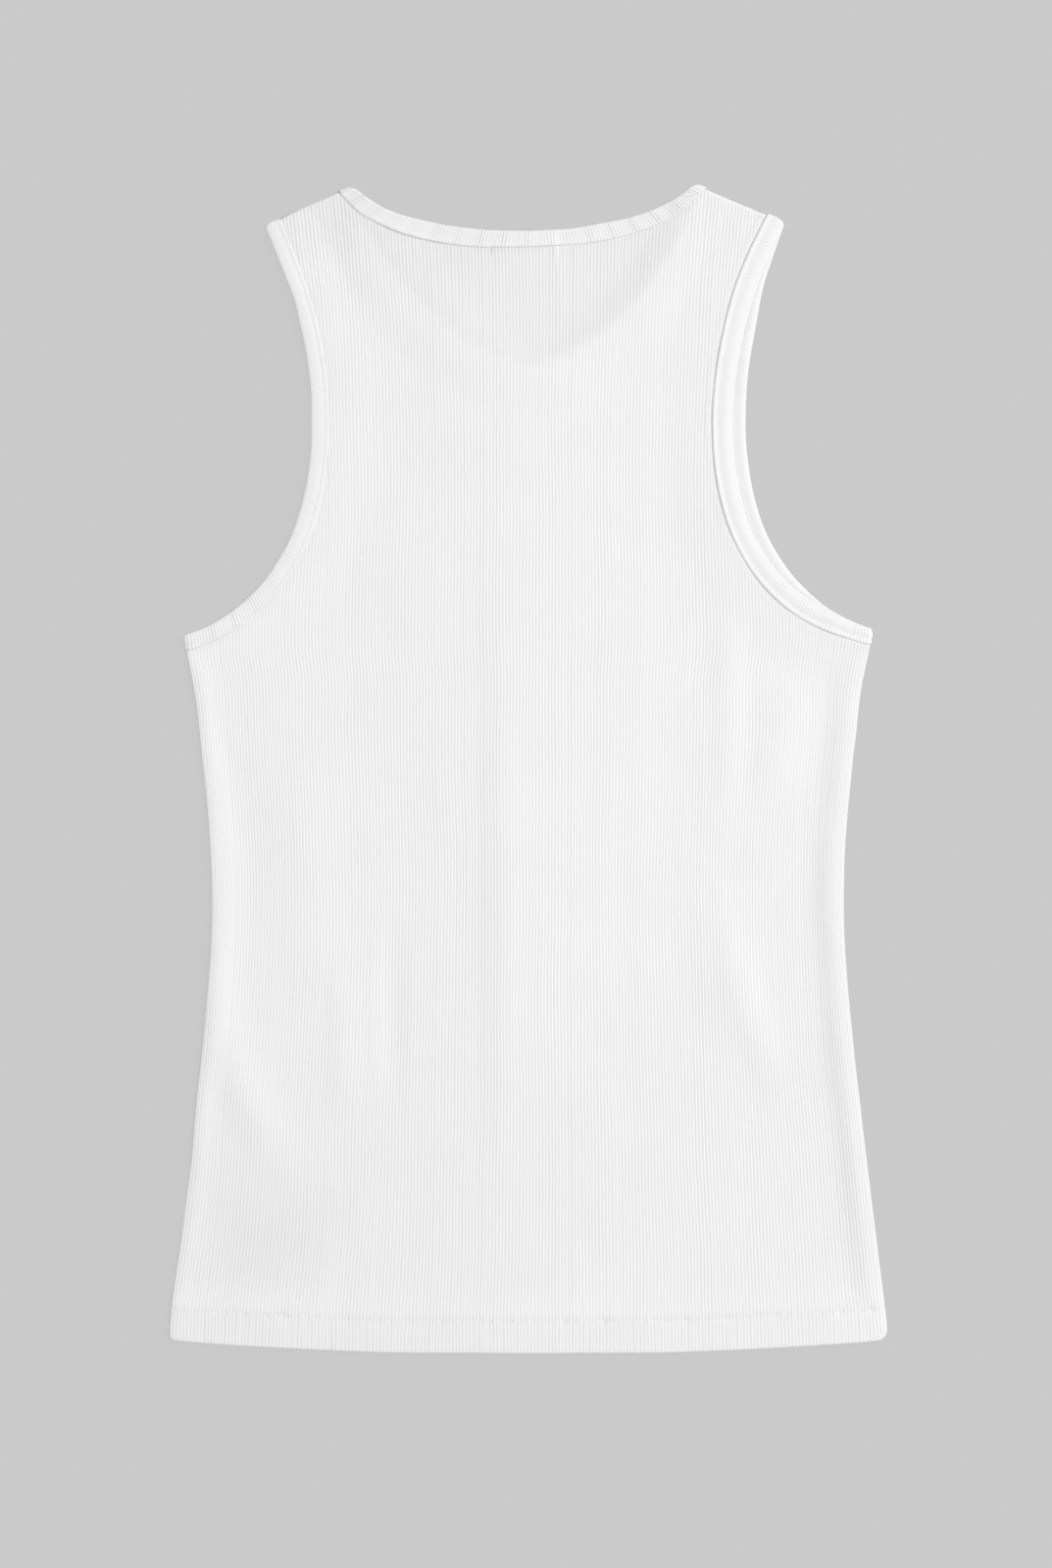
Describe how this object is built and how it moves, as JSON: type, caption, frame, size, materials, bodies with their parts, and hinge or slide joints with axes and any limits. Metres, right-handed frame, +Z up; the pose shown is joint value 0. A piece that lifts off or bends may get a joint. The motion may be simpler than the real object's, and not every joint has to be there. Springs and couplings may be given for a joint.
{
  "type": "tank top",
  "caption": "Sleeveless rib-knit tank top laid flat with its back upwards: shallow back neck over a deep front scoop, wide armholes with folded rib bands, waisted sides and a turned-up hem",
  "frame": {"origin": "bottom centre of the bounding box, on the surface that the front lies on", "axes": "+Z up through the cloth, out of the back; +Y from the hem to the neck; +X to the right, seen from above"},
  "size_m": [0.402, 0.6555, 0.005],
  "materials": {
    "rib_jersey": "matt white fine-rib cotton jersey",
    "rib_binding": "matt white folded rib binding"
  },
  "bodies": {
    "root": {"back_panel": "rib_jersey", "front_panel": "rib_jersey", "neck_band": "rib_binding", "armhole_band_left": "rib_binding", "armhole_band_right": "rib_binding"}
  },
  "joints": []
}
